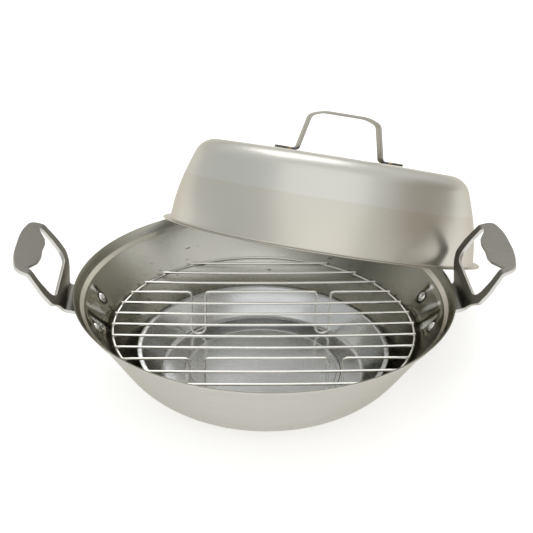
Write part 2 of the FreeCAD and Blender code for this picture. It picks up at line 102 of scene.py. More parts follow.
# lid and strap
BAND_HEIGHT = 43 * MM  # top of the lid's lower, darker and warmer band
BAND_BLUR = 0.4 * MM
BAND_SHARES = (0.93, 0.91, 0.87)  # its colour, to the lid's
FOOT_COLOUR = (0.13, 0.122, 0.10)
BLUE_HEAT = (0.12, 0.13, 0.19)

# stage
FLOOR_GLOW = 0.48  # of the floor to the camera and in the steel
SENSOR = 36.0  # width, in millimetres
LENS = 1158.317 / 533  # focal length in widths of the frame


def node_size(name):
    """Size of one node of the frame, in metres."""
    low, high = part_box(name)
    return high - low


def spun_radius(name):
    """Outer radius of a node that is round about the bowl's axis."""
    low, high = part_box(name)
    return (high.x - low.x) / 2


# ---------------------------------------------------------------- sizes a user would change
def length_property(name, description, default):
    """Property that holds a length."""
    return bpy.props.FloatProperty(name=name, description=description, default=default,
                                   unit="LENGTH")


def angle_property(name, description, degrees):
    """Property that holds an angle."""
    return bpy.props.FloatProperty(name=name, description=description,
                                   default=math.radians(degrees), subtype="ANGLE")


def colour_property(name, description, default):
    """Property that holds a colour."""
    return bpy.props.FloatVectorProperty(name=name, description=description, default=default,
                                         subtype="COLOR", size=3, min=0, max=1)


class SmokerBowlSizes(bpy.types.PropertyGroup):
    """Sizes of the bowl"""
    rim_radius: length_property("Rim radius", "Outermost edge of the lip", spun_radius("bowl"))
    height: length_property("Height", "Base to rim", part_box("bowl")[1].z)
    sheet: length_property("Sheet", "Thickness of the spun sheet", 1.0 * MM)
    base_curve: length_property("Base curve", "Inside radius between base and wall", 64.5 * MM)
    wall_angle: angle_property("Wall angle", "Wall from the vertical", 32.5)
    lip_angle: angle_property("Lip angle", "Lip above the lid seat, from the vertical", 35.0)
    seat_drop: length_property("Seat drop", "Rim down to the lid seat", 6.3 * MM)
    seat_width: length_property("Seat width", "Ledge that carries the lid", 3.3 * MM)
    seat_fall: length_property("Seat fall", "How far the ledge slopes down inwards", 2.5 * MM)


class SmokerHandleSizes(bpy.types.PropertyGroup):
    """Sizes of the side handles and the lid's strap"""
    sheet: length_property("Sheet", "Thickness of the bent sheet", 3.0 * MM)
    edge: length_property("Edge", "Rounding of the tumbled edges", 0.55 * MM)
    grip_slope: angle_property("Grip slope", "Grip from the horizontal", 20.0)
    neck: length_property("Neck", "Half the width of the neck", 21.0 * MM)
    plate: length_property("Plate", "Half the width of the mounting plate", 29.5 * MM)
    rivet_head: length_property("Rivet head", "Width of a rivet head", 8.6 * MM)
    strap: length_property("Strap", "Thickness of the lid's strap", 2.1 * MM)
    strap_width: length_property("Strap width", "Width of the strap handle", 18.0 * MM)
    strap_turn: angle_property("Strap turn", "Turn of the strap about the lid's axis", 2.0)


class SmokerPanSizes(bpy.types.PropertyGroup):
    """Sizes of the drip pan"""
    rim_radius: length_property("Rim radius", "Edge of the pan's lip", 101.3 * MM)
    floor_radius: length_property("Floor radius", "Where floor and wall meet", 82.0 * MM)
    lip: length_property("Lip", "Width of the flat lip", 3.4 * MM)
    depth: length_property("Depth", "Lip to floor", 22.4 * MM)
    sheet: length_property("Sheet", "Thickness of the pressed sheet", 0.8 * MM)


class SmokerRackSizes(bpy.types.PropertyGroup):
    """Sizes of the rack"""
    wire: length_property("Wire", "Diameter of the wire", node_size("rack_ring").z)
    sag: length_property("Sag", "Middle of the longest wire below its ends", 1.6 * MM)
    weld: length_property("Weld", "Width of a weld between wire and ring", 3.1 * MM)


class SmokerLidSizes(bpy.types.PropertyGroup):
    """Sizes of the lid"""
    flange_radius: length_property("Flange radius", "Outer edge of the flange", 142.77 * MM)
    flange: length_property("Flange", "Width of the turned-out flange", 5.6 * MM)
    height: length_property("Height", "Mouth to the top of the crown", 76.9 * MM)
    sheet: length_property("Sheet", "Thickness of the drawn sheet", 1.0 * MM)
    lean_tilt: angle_property("Lean", "Tilt of the leaning lid", 22.75)
    lean_azimuth: angle_property("Lean direction", "Direction of the leaning lid, from +X", 66.95)


class SmokerFinish(bpy.types.PropertyGroup):
    """Colours of the finishes"""
    bowl: colour_property("Bowl steel", "Satin spun steel", (0.62, 0.61, 0.575))
    lid: colour_property("Lid steel", "Satin spun steel of the lid", (0.67, 0.665, 0.63))
    handle: colour_property("Handle steel", "Tumbled sheet of the side handles",
                            (0.20, 0.195, 0.18))
    pan: colour_property("Pan steel", "Brushed steel of the drip pan", (0.68, 0.695, 0.71))
    wire: colour_property("Wire steel", "Bright drawn wire", (0.99, 0.98, 0.95))
    strap: colour_property("Strap steel", "Polished strip of the lid handle", (0.37, 0.36, 0.33))
    tint: colour_property("Heat tint", "Straw colour beside the welds", (0.40, 0.31, 0.18))


# ---------------------------------------------------------------- plane geometry
def unit2(a, b):
    """Unit vector from one plane point to another."""
    d = Vector((b[0] - a[0], b[1] - a[1]))
    return d.normalized()


def rounded(points, radii, steps=6):
    """Plane points of a path whose corners are replaced by tangent arcs."""
    result = [Vector(points[0])]
    for before, corner, after, radius in zip(points, points[1:], points[2:], radii):
        d, e = unit2(before, corner), unit2(corner, after)
        turn = math.atan2(d.x * e.y - d.y * e.x, d.dot(e))
        reach = radius * math.tan(abs(turn) / 2)
        start = Vector(corner) - d * reach
        side = Vector((-d.y, d.x)) * (1 if turn > 0 else -1)
        centre = start + side * radius
        count = max(2, int(steps * abs(turn) / 0.5) + 1)
        for i in range(count + 1):
            a = turn * i / count
            arm = start - centre
            result.append(centre + Vector((arm.x * math.cos(a) - arm.y * math.sin(a),
                                           arm.x * math.sin(a) + arm.y * math.cos(a))))
    result.append(Vector(points[-1]))
    return result


def offset_path(points, distance):
    """A path beside a path, to its right."""
    result = []
    for i, p in enumerate(points):
        before = unit2(points[i - 1], p) if i > 0 else unit2(p, points[1])
        after = unit2(p, points[i + 1]) if i < len(points) - 1 else before
        normal = Vector((before.y + after.y, -before.x - after.x))
        result.append(p + normal * (distance / (1.0 + before.dot(after))))
    return result


def spaced(points, longest):
    """The path with long runs divided, so that spun faces stay near square."""
    result = [points[0]]
    for a, b in zip(points, points[1:]):
        count = max(1, math.ceil((b - a).length / longest))
        result += [a + (b - a) * (i / count) for i in range(1, count + 1)]
    return result


def sheet_loop(points, thickness, edge_steps=4):
    """Open loop round a sheet's section: one face, a rounded end, the other face."""
    other = offset_path(points, thickness)
    out = unit2(points[-2], points[-1])
    normal = Vector((out.y, -out.x))
    middle = points[-1] + normal * (thickness / 2)
    end = []
    for i in range(1, edge_steps):
        a = math.pi * i / edge_steps
        end.append(middle - normal * (thickness / 2 * math.cos(a))
                   + out * (thickness / 2 * math.sin(a)))
    return list(points) + end + list(reversed(other))


# ---------------------------------------------------------------- mesh helpers
def finish_mesh(name, bm, body, nodes, material, sharp=EDGE_ANGLE):
    """Turns a bmesh into a finished piece that rides on a body and stands for CAD nodes."""
    bmesh.ops.recalc_face_normals(bm, faces=bm.faces)
    mesh = bpy.data.meshes.new(name)
    for face in bm.faces:
        face.smooth = True
    for edge in bm.edges:
        if len(edge.link_faces) == 2 and edge.calc_face_angle(0.0) > math.radians(sharp):
            edge.smooth = False
    bm.to_mesh(mesh)
    bm.free()
    obj = bpy.data.objects.new(name, mesh)
    bpy.context.scene.collection.objects.link(obj)
    mesh.materials.append(bpy.data.materials[material])
    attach(obj, body)
    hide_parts(*nodes)
    return obj


def coat_inside(piece, material, centre):
    """Second material on the faces that look towards a centre."""
    piece.data.materials.append(bpy.data.materials[material])
    for face in piece.data.polygons:
        if face.normal.dot(face.center - centre) < 0:
            face.material_index = 1


def full_turn(bm, geometry, steps):
    """Spin geometry once round the bowl's axis."""
    bmesh.ops.spin(bm, geom=geometry, cent=(0, 0, 0), axis=(0, 0, 1), angle=math.tau,
                   steps=steps, use_merge=True, use_duplicate=False)
    bmesh.ops.remove_doubles(bm, verts=bm.verts, dist=MERGE)


def spin_section(bm, loop, steps):
    """Full turn of an open loop in the plane of x and z."""
    verts = [bm.verts.new((p.x, 0, p.y)) for p in loop]
    edges = [bm.edges.new(pair) for pair in zip(verts, verts[1:])]
    full_turn(bm, verts + edges, steps)


def edge_highlight(piece, material):
    """Second material, a lighter copy of the steel that paints a highlight, on the rounded edges of
    a blank, and even shading of its faces.
    """
    piece.data.materials.append(bpy.data.materials[material])
    even = piece.modifiers.new("even", "WEIGHTED_NORMAL")
    even.keep_sharp = True


def tube_along(bm, path, radius, sides=14):
    """Round bar along a path of points: a circle carried along and joined ring by ring."""
    rings = []
    count = len(path)
    reference = None
    for i, p in enumerate(path):
        ahead = path[min(i + 1, count - 1)] - path[max(i - 1, 0)]
        ahead.normalize()
        if reference is None:
            reference = ahead.orthogonal().normalized()
        reference = (reference - ahead * reference.dot(ahead)).normalized()
        across = ahead.cross(reference)
        made = bmesh.ops.create_circle(bm, cap_ends=False, radius=radius, segments=sides)
        matrix = Matrix((reference, across, ahead)).transposed().to_4x4()
        matrix.translation = p
        bmesh.ops.transform(bm, matrix=matrix, verts=made["verts"])
        rings.append(made["verts"])
    for a, b in zip(rings, rings[1:]):
        edges = [e for v in a + b for e in v.link_edges
                 if e.other_vert(v) in (a if v in a else b)]
        bmesh.ops.bridge_loops(bm, edges=list(set(edges)))
    for ring in (rings[0], rings[-1]):
        face = bm.faces.new(ring)
        bmesh.ops.bevel(bm, geom=list(face.edges), offset=radius * 0.35, offset_type="OFFSET",
                        segments=2, profile=0.5, affect="EDGES", material=-1)


def cut_at(bm, places, axis):
    """Cuts across the whole mesh at places along an axis."""
    normal = Vector([float(i == axis) for i in range(3)])
    for place in places:
        bmesh.ops.bisect_plane(bm, geom=bm.verts[:] + bm.edges[:] + bm.faces[:], dist=1e-8,
                               plane_co=normal * place, plane_no=normal)


def blank(loops, thickness, edge):
    """Flat blank on closed loops in a plane, its lower face at 0, with rounded edges."""
    bm = bmesh.new()
    for loop in loops:
        verts = [bm.verts.new((p.x, p.y, 0)) for p in loop]
        for a, b in zip(verts, verts[1:] + verts[:1]):
            bm.edges.new((a, b))
    bmesh.ops.triangle_fill(bm, edges=bm.edges[:], use_beauty=True, normal=(0, 0, 1))
    made = bmesh.ops.extrude_face_region(bm, geom=bm.faces[:], use_keep_orig=True)
    top = [v for v in made["geom"] if isinstance(v, bmesh.types.BMVert)]
    bmesh.ops.translate(bm, vec=(0, 0, thickness), verts=top)
    bmesh.ops.recalc_face_normals(bm, faces=bm.faces)
    rim = [e for e in bm.edges if len(e.link_faces) == 2 and e.calc_face_angle() > 1.3
           and abs(e.verts[0].co.z - e.verts[1].co.z) < thickness / 2]
    bmesh.ops.bevel(bm, geom=rim, offset=edge, offset_type="OFFSET", segments=3, profile=0.5,
                    affect="EDGES", material=-1)
    bm.normal_update()
    for face in bm.faces:
        if abs(face.normal.z) < 0.8:
            face.material_index = 1
    return bm


class BentPath:
    """Path of a bent sheet: length along it, place and heading at each length."""

    def __init__(self, points, radii, steps=8):
        self.points = rounded(points, radii, steps)
        self.lengths = [0.0]
        for a, b in zip(self.points, self.points[1:]):
            self.lengths.append(self.lengths[-1] + (b - a).length)

    def at(self, length):
        """Place and outward normal (to the right of the path) at a length."""
        length = min(max(length, 0.0), self.lengths[-1])
        i = 1
        while i < len(self.lengths) - 1 and self.lengths[i] < length:
            i += 1
        a, b = self.points[i - 1], self.points[i]
        share = (length - self.lengths[i - 1]) / (self.lengths[i] - self.lengths[i - 1])
        ways = []
        for j in (i - 1, i):
            before = unit2(self.points[max(j - 1, 0)], self.points[max(j, 1)])
            after = unit2(self.points[min(j, len(self.points) - 2)],
                          self.points[min(j + 1, len(self.points) - 1)])
            ways.append((before + after).normalized())
        way = (ways[0] * (1 - share) + ways[1] * share).normalized()
        return a + (b - a) * share, Vector((way.y, -way.x))

    def length_where(self, value, axis):
        """Length at which the path first passes a value of one coordinate."""
        for i, (a, b) in enumerate(zip(self.points, self.points[1:])):
            if min(a[axis], b[axis]) <= value <= max(a[axis], b[axis]):
                share = (value - a[axis]) / (b[axis] - a[axis])
                return self.lengths[i] + share * (b - a).length
        raise ValueError("the path does not pass %g" % value)


def both_sides(half):
    """Closed outline from its half at positive y; points on y = 0 are not doubled."""
    other = [Vector((p[0], -p[1])) for p in reversed(half) if abs(p[1]) > 1e-7]
    return [Vector(p) for p in half] + other


# ---------------------------------------------------------------- shader nodes
class Net:
    """Nodes and links of one tree, whose inputs are fed by sockets or by plain values."""

    def __init__(self, tree):
        self.nodes, self.links = tree.nodes, tree.links

    def feed(self, socket, value):
        """Link a socket to an input, or set a plain value on it."""
        if isinstance(value, bpy.types.NodeSocket):
            self.links.new(value, socket)
        else:
            socket.default_value = value

    def add(self, kind, inputs, **settings):
        """New node: first its settings, then its inputs by name or number."""
        node = self.nodes.new(kind)
        for name, value in settings.items():
            setattr(node, name, value)
        for key, value in inputs.items():
            self.feed(node.inputs[key], value)
        return node

    def calc(self, operation, *values):
        """Math node."""
        inputs = dict(enumerate(values))
        return self.add("ShaderNodeMath", inputs, operation=operation).outputs[0]

    def times(self, a, b):
        """Product of two numbers."""
        return self.calc("MULTIPLY", a, b)

    def minus(self, a, b):
        """Difference of two numbers."""
        return self.calc("SUBTRACT", a, b)

    def vector(self, operation, *values):
        """Vector math node."""
        inputs = dict(enumerate(values))
        return self.add("ShaderNodeVectorMath", inputs, operation=operation).outputs[0]

    def split(self, vector):
        """The three coordinates of a vector."""
        return self.add("ShaderNodeSeparateXYZ", {0: vector}).outputs

    def joined(self, x, y):
        """Vector in a plane from its two coordinates."""
        return self.add("ShaderNodeCombineXYZ", {0: x, 1: y}).outputs[0]

    def radius(self, x, y):
        """Distance from an axis."""
        inputs = {0: self.joined(x, y)}
        return self.add("ShaderNodeVectorMath", inputs, operation="LENGTH").outputs["Value"]

    def noise(self, place, scale, detail, roughness=0.5):
        """Noise from 0 to 1."""
        return self.add("ShaderNodeTexNoise", {
            "Vector": place, "Scale": scale, "Detail": detail, "Roughness": roughness}).outputs[0]

    def ranged(self, value, low, high):
        """The middle half of a noise, stretched over a range."""
        return self.add("ShaderNodeMapRange", {
            "Value": value, "From Min": 0.25, "From Max": 0.75,
            "To Min": low, "To Max": high}).outputs[0]

    def step(self, value, low, high):
        """0 below low, 1 above high, eased between."""
        return self.add("ShaderNodeMapRange", {"Value": value, "From Min": low, "From Max": high},
                        interpolation_type="SMOOTHSTEP").outputs[0]

    def fall(self, value, low, high):
        """1 below low, 0 above high, eased between."""
        return self.minus(1.0, self.step(value, low, high))

    def blend(self, first, second, factor):
        """Mix of two numbers."""
        return self.add("ShaderNodeMix", {2: first, 3: second, 0: factor}).outputs[0]

    def mix(self, first, second, factor):
        """Mix of two colours, each a tuple or a socket."""
        first, second = ((*c, 1) if isinstance(c, tuple) else c for c in (first, second))
        return self.add("ShaderNodeMix", {6: first, 7: second, 0: factor},
                        data_type="RGBA").outputs[2]

    def bump(self, height, strength, distance, over=None):
        """Normal raised by a height, on top of another normal where one is given."""
        inputs = {"Height": height, "Strength": strength, "Distance": distance}
        if over is not None:
            inputs["Normal"] = over
        return self.add("ShaderNodeBump", inputs).outputs[0]

    def group(self, name, inputs):
        """Outputs of a shader node group."""
        return self.add("ShaderNodeGroup", inputs, node_tree=bpy.data.node_groups[name]).outputs


def scaled(colour, share):
    """A colour times a number."""
    return tuple(c * share for c in colour)


def group_of(name, inputs, outputs):
    """New shader node group: its net, the sockets that it is given and those that it makes."""
    group = bpy.data.node_groups.new(name, "ShaderNodeTree")
    for kind, label, default in inputs:
        socket = group.interface.new_socket(name=label, in_out="INPUT", socket_type=kind)
        socket.default_value = default
    for kind, label in outputs:
        group.interface.new_socket(name=label, in_out="OUTPUT", socket_type=kind)
    net = Net(group)
    given, made = net.nodes.new("NodeGroupInput"), net.nodes.new("NodeGroupOutput")
    return net, given.outputs, made.inputs


def spun_grain_group():
    """Concentric turning marks round the piece's own axis, fine ones and wide bands."""
    net, given, made = group_of(
        "spun_grain",
        [("NodeSocketVector", "Centred", (0, 0, 0)), ("NodeSocketFloat", "Pitch", 900.0),
         ("NodeSocketFloat", "Wander", 0.02)],
        [("NodeSocketFloat", "Marks"), ("NodeSocketFloat", "Bands")])
    x, y, z = net.split(given["Centred"])
    turned = net.times(net.calc("ARCTAN2", y, x), given["Wander"])
    along = net.calc("ADD", net.radius(x, y), net.times(z, WALL_SHARE))
    place = net.add("ShaderNodeVectorMath", {0: net.joined(along, turned), "Scale": given["Pitch"]},
                    operation="SCALE").outputs[0]
    net.feed(made["Marks"], net.noise(place, 3.0, 4.0))
    net.feed(made["Bands"], net.noise(place, 0.12, 2.0))


def straight_grain_group():
    """Brush lines along one direction of the piece."""
    net, given, made = group_of(
        "straight_grain",
        [("NodeSocketVector", "Place", (0, 0, 0)), ("NodeSocketVector", "Stretch", BRUSHED)],
        [("NodeSocketFloat", "Marks")])
    place = net.vector("MULTIPLY", given["Place"], given["Stretch"])
    net.feed(made["Marks"], net.noise(place, 1.0, 5.0))


def smudge_group():
    """Soft cloudy differences of finish."""
    net, given, made = group_of(
        "smudges",
        [("NodeSocketVector", "Place", (0, 0, 0)), ("NodeSocketFloat", "Scale", 30.0)],
        [("NodeSocketFloat", "Mask")])
    net.feed(made["Mask"], net.noise(given["Place"], given["Scale"], 3.0, 0.6))


def bowl_wall_marks(net, place, tone, dull, colour, back):
    """Painted light on the back wall, painted highlight on the seat, painted shade on the lip at
    the front and painted light on it at the back, and the dents of riveting, with painted
    reflections in them and painted shadow rings round the rivets.
    """
    x, y, z = net.split(place)
    # painted light on the back wall; the front and the sides keep the darker base colour, which is
    # painted shade
    depth = net.minus(y, net.times(x, BACK_LIGHT_TURN))
    behind = net.times(net.step(depth, *BACK_LIGHT_DEPTH), net.step(z, *BACK_LIGHT_HEIGHT))
    tone = net.mix(tone, back, behind)
    specks = net.noise(net.vector("MULTIPLY", place, SPECK_STRETCH), 1.0, 0.0)
    tone = net.mix(tone, SPECK_COLOUR, net.step(specks, *SPECK_LEVEL))
    away = net.radius(x, y)
    # painted highlight on the lid seat
    tone = net.mix(tone, SEAT_HIGHLIGHT, net.step(away, *SEAT_EDGE))
    # painted shade on the lip at the front, painted light on it at the back
    lip = net.mix(scaled(colour, 0.85), scaled(back, 0.7), behind)
    tone = net.mix(tone, lip, net.step(away, *LIP_EDGE))
    # rivets stand at the same place on both sides, front and back
    near_x = net.minus(net.calc("ABSOLUTE", x), RIVET_X)
    near_y = net.minus(net.calc("ABSOLUTE", y), RIVET_Y)
    slant = net.times(net.minus(z, RIVET_Z), RIVET_SLANT)
    # painted shadow ring round each rivet, on its outer side
    ring = net.fall(net.radius(near_y, slant), *SHADOW_RING_EDGE)
    tone = net.mix(tone, SHADOW_RING_COLOUR, net.times(net.step(near_x, *SHADOW_RING_SIDE), ring))
    between = net.times(net.step(near_x, *DENT_SIDE), net.fall(net.calc("ABSOLUTE", y), *DENT_HALF))
    riveted = net.times(between, net.fall(away, *DENT_TOP))
    dull = net.blend(dull, RUBBED_ROUGHNESS, riveted)
    lean = net.joined(net.calc("ADD", net.times(y, 75.0), net.times(z, 55.0)), net.times(z, 30.0))
    waves = net.noise(lean, 1.0, 0.0)
    # painted reflections in the dents
    glint = net.times(riveted, net.step(waves, *GLINT_LEVEL))
    return net.mix(tone, GLINT_COLOUR, glint), dull, net.times(waves, riveted)


def weld_marks(net, place, tone, crown, tint):
    """Dark feet of the strap, with straw and blue bands left by the spot welds."""
    x, _, z = net.split(place)
    foot = net.fall(z, crown + 2.6 * MM, crown + 5.5 * MM)
    tone = net.mix(tone, FOOT_COLOUR, foot)
    away = net.calc("ABSOLUTE", net.minus(x, STRAP_SHIFT))
    for middle, colour in ((45.5 * MM, tint), (41.5 * MM, BLUE_HEAT)):
        near = net.calc("ABSOLUTE", net.minus(away, middle))
        band = net.fall(near, 0.6 * MM, 2.8 * MM)
        tone = net.mix(tone, colour, net.times(foot, band))
    return tone


def steel(name, colour, roughness, grain="spun", centre=(0, 0, 0), tilt=None, bump=0.15,
          stretch=BRUSHED, spread=0.08, smudge=0.06, turned=0.0,
          band=None, inside=None, welds=None):
    """Steel with grain in its roughness and bump; turned steel gleams across its marks.

    band is a height and the colour below it, inside the colour of the painted light on the
    bowl's back wall, and welds the height of the crown and the straw colour beside the strap's
    welds.
    """
    material = bpy.data.materials.new(name)
    material.use_nodes = True
    net = Net(material.node_tree)
    shader = net.nodes["Principled BSDF"].inputs
    shader["Metallic"].default_value = 1.0
    shader["Specular Tint"].default_value = GRAZING_TINT
    place = net.nodes.new("ShaderNodeTexCoord").outputs["Object"]
    if tilt is None:
        tilt = Matrix.Identity(3)
    inverse = tilt.inverted()
    own = net.add("ShaderNodeMapping", {
        "Vector": place, "Location": -(inverse @ Vector(centre)),
        "Rotation": inverse.to_euler()}, vector_type="POINT").outputs[0]
    if turned:
        shader["Anisotropic"].default_value = turned
        shader["Anisotropic Rotation"].default_value = 0.25
        arm = net.vector("SUBTRACT", place, centre)
        around = net.vector("CROSS_PRODUCT", tilt @ Vector((0, 0, 1)), arm)
        net.feed(shader["Tangent"], around)
    if grain == "spun":
        marks = net.group("spun_grain", {"Centred": own})
        fine, wide = marks["Marks"], marks["Bands"]
    else:
        fine = net.group("straight_grain", {"Place": own, "Stretch": stretch})["Marks"]
        wide = fine
    cloud = net.group("smudges", {"Place": own})["Mask"]
    dull = net.calc("ADD", net.ranged(fine, roughness, roughness + spread),
                    net.ranged(cloud, 0.0, smudge))
    tone = net.mix(tuple(colour), scaled(colour, 0.95), wide)
    dents = None
    if band:
        height, lower = band
        above = net.step(net.split(own)[2], height - BAND_BLUR, height + BAND_BLUR)
        tone = net.mix(lower, tone, above)
    if welds:
        tone = weld_marks(net, own, tone, *welds)
    if inside:
        tone, dull, raised = bowl_wall_marks(net, place, tone, dull, colour, inside)
        dents = net.bump(raised, 1.0, DENT_DEPTH)
    net.feed(shader["Roughness"], dull)
    net.feed(shader["Base Color"], tone)
    net.feed(shader["Normal"], net.bump(fine, bump, GRAIN_DEPTH, dents))
    return material


# ---------------------------------------------------------------- bowl
def bowl_path(sizes):
    """Inside face of the bowl, from the axis out to the rim, in a plane."""
    lip_sin, lip_cos = math.sin(sizes.lip_angle), math.cos(sizes.lip_angle)
    rim = Vector((sizes.rim_radius - sizes.sheet * lip_cos, sizes.height))
    seat_out = Vector((rim.x - sizes.seat_drop * lip_sin / lip_cos, sizes.height - sizes.seat_drop))
    seat_in = Vector((seat_out.x - sizes.seat_width, seat_out.y - sizes.seat_fall))
    base = Vector((seat_in.x - (seat_in.y - sizes.sheet) * math.tan(sizes.wall_angle),
                   sizes.sheet))
    points = [(0.0, sizes.sheet), tuple(base), tuple(seat_in), tuple(seat_out), tuple(rim)]
    bend = 1.2 * MM
    return rounded(points, [sizes.base_curve, sizes.sheet + bend, bend])


class SMOKER_OT_bowl(bpy.types.Operator):
    """Spin the bowl with its lid seat and lip"""
    bl_idname = "smoker.bowl"
    bl_label = "Bowl"

    def execute(self, context):
        sizes = context.scene.smoker_bowl
        path = spaced(bowl_path(sizes), FACE_LENGTH)
        bm = bmesh.new()
        spin_section(bm, sheet_loop(path, sizes.sheet), 256)
        piece = finish_mesh("bowl_shell", bm, "bowl", ["bowl"], "bowl_satin")
        high_above = Vector((0, 0, 600 * MM))
        coat_inside(piece, "bowl_inside_painted_light_and_shade", high_above)
        return {"FINISHED"}


class SMOKER_OT_pan(bpy.types.Operator):
    """Spin the drip pan"""
    bl_idname = "smoker.pan"
    bl_label = "Drip pan"

    def execute(self, context):
        sizes = context.scene.smoker_pan
        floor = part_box("drip_pan")[1].z - sizes.depth
        wall_in = sizes.rim_radius - sizes.lip
        # ring pressed into the floor: its radius, half its width and its height
        ring, half, rise = 62.0 * MM, 1.5 * MM, 0.5 * MM
        points = [(0.0, floor), (ring - half - rise, floor), (ring - half, floor + rise),
                  (ring + half, floor + rise), (ring + half + rise, floor),
                  (sizes.floor_radius, floor), (wall_in, floor + sizes.depth),
                  (sizes.rim_radius, floor + sizes.depth)]
        path = rounded(points, [0.3 * MM, 1.1 * MM, 1.1 * MM, 0.3 * MM, 5.0 * MM, 1.8 * MM])
        bm = bmesh.new()
        spin_section(bm, sheet_loop(spaced(path, FACE_LENGTH), sizes.sheet), 224)
        finish_mesh("pan_shell", bm, "drip_pan", ["drip_pan"], "pan_brushed")
        return {"FINISHED"}


# ---------------------------------------------------------------- rack
class SMOKER_OT_rack(bpy.types.Operator):
    """Bend the wires of the rack and weld them to its ring"""
    bl_idname = "smoker.rack"
    bl_label = "Rack"

    def execute(self, context):
        sizes = context.scene.smoker_rack
        radius = sizes.wire / 2
        low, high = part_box("rack_ring")
        ring_radius = (high.x - low.x) / 2 - radius
        ring_z = (high.z + low.z) / 2
        bm = bmesh.new()
        made = bmesh.ops.create_circle(bm, cap_ends=False, radius=radius, segments=16)
        turn = Matrix.Translation((ring_radius, 0, ring_z)) @ Matrix.Rotation(math.pi / 2, 4, "X")
        bmesh.ops.transform(bm, matrix=turn, verts=made["verts"])
        full_turn(bm, list(bm.verts) + list(bm.edges), 256)
        finish_mesh("ring_wire", bm, "rack", ["rack_ring"], "wire_bright",
                    WIRE_EDGE_ANGLE)
        for node in RACK_WIRES + LEG_WIRES:
            self.cross_wire(node, radius, sizes, ring_radius)
        return {"FINISHED"}

    def cross_wire(self, node, radius, sizes, ring_radius):
        """One cross wire, straight or with two legs, and a weld at each end."""
        low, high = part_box(node)
        half = (high.x - low.x) / 2
        y = (high.y + low.y) / 2
        top = high.z - radius
        bm = bmesh.new()
        if node in LEG_WIRES:
            # half the width of a leg, its upper bends, and its middle from the rack's
            side, bend, middle = 5.9 * MM, 3.4 * MM, 53.0 * MM
            foot = low.z + radius
            points = [(-half, top)]
            for m in (-middle, middle):
                points += [(m - side, top), (m - side, foot), (m + side, foot), (m + side, top)]
            points.append((half, top))
            flat = rounded(points, [bend, side * 0.96, side * 0.96, bend] * 2, 9)
            path = [Vector((p.x, y, p.y)) for p in spaced(flat, 12 * MM)]
        else:
            steps = 24
            sag = sizes.sag * (half / ring_radius) ** 2
            path = []
            for i in range(steps + 1):
                t = 2 * i / steps - 1
                path.append(Vector((half * t, y, top - sag * (1 - t * t))))
        tube_along(bm, path, radius)
        ring_z = top - sizes.wire
        for side in (-1, 1):
            x = side * math.sqrt(max(ring_radius ** 2 - y * y, 0))
            tangent = Vector((-y, x, 0)).normalized()
            made = bmesh.ops.create_uvsphere(bm, u_segments=12, v_segments=8,
                                             radius=sizes.weld / 2)
            turn = tangent.to_track_quat("X", "Z").to_matrix().to_4x4()
            place = Matrix.Translation((x, y, (top + ring_z) / 2)) @ turn
            flattened = place @ Matrix.Diagonal((1.0, 0.62, 0.55, 1))
            bmesh.ops.transform(bm, matrix=flattened, verts=made["verts"])
        finish_mesh(node.replace("rack_", "rod_"), bm, "rack", [node],
                    "wire_bright", WIRE_EDGE_ANGLE)


# ---------------------------------------------------------------- lid
def lid_placement(sizes):
    """Place and turn of the leaning lid, from the lid's own upright frame."""
    toward = Vector((math.cos(sizes.lean_azimuth), math.sin(sizes.lean_azimuth), 0))
    turn = Matrix.Rotation(sizes.lean_tilt, 3, Vector((-toward.y, toward.x, 0)))
    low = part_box("lid_shell")[0]
    # the flange is the lid's widest circle, so its reach from the centre gives the place
    normal = turn @ Vector((0, 0, 1))
    x = low.x + sizes.flange_radius * math.sqrt(1 - normal.x ** 2)
    y = low.y + sizes.flange_radius * math.sqrt(1 - normal.y ** 2)
    z = sizes.flange_radius * math.sin(sizes.lean_tilt) + low.z
    return Vector((x, y, z)), turn


class SMOKER_OT_lid(bpy.types.Operator):
    """Spin the lid and lean it on the rim"""
    bl_idname = "smoker.lid"
    bl_label = "Lid"

    def execute(self, context):
        sizes = context.scene.smoker_lid
        wall = sizes.flange_radius - sizes.flange
        crown = 1.45 * MM    # fall of the crown towards its edge
        points = [(0.0, sizes.height), (55.0 * MM, sizes.height),
                  (119.0 * MM, sizes.height - crown), (134.8 * MM, 30.5 * MM),
                  (wall, sizes.sheet), (sizes.flange_radius, sizes.sheet)]
        path = rounded(points, [3500 * MM, 19.5 * MM, 180 * MM, 1.6 * MM])
        bm = bmesh.new()
        spin_section(bm, sheet_loop(spaced(path, FACE_LENGTH), sizes.sheet), 256)
        place, turn = lid_placement(sizes)
        matrix = Matrix.Translation(place) @ turn.to_4x4()
        bmesh.ops.transform(bm, matrix=matrix, verts=bm.verts)
        piece = finish_mesh("lid_dome", bm, "lid", ["lid_shell"], "lid_satin")
        below_mouth = matrix @ Vector((0, 0, -40 * MM))
        coat_inside(piece, "lid_inside_painted_light", below_mouth)
        return {"FINISHED"}


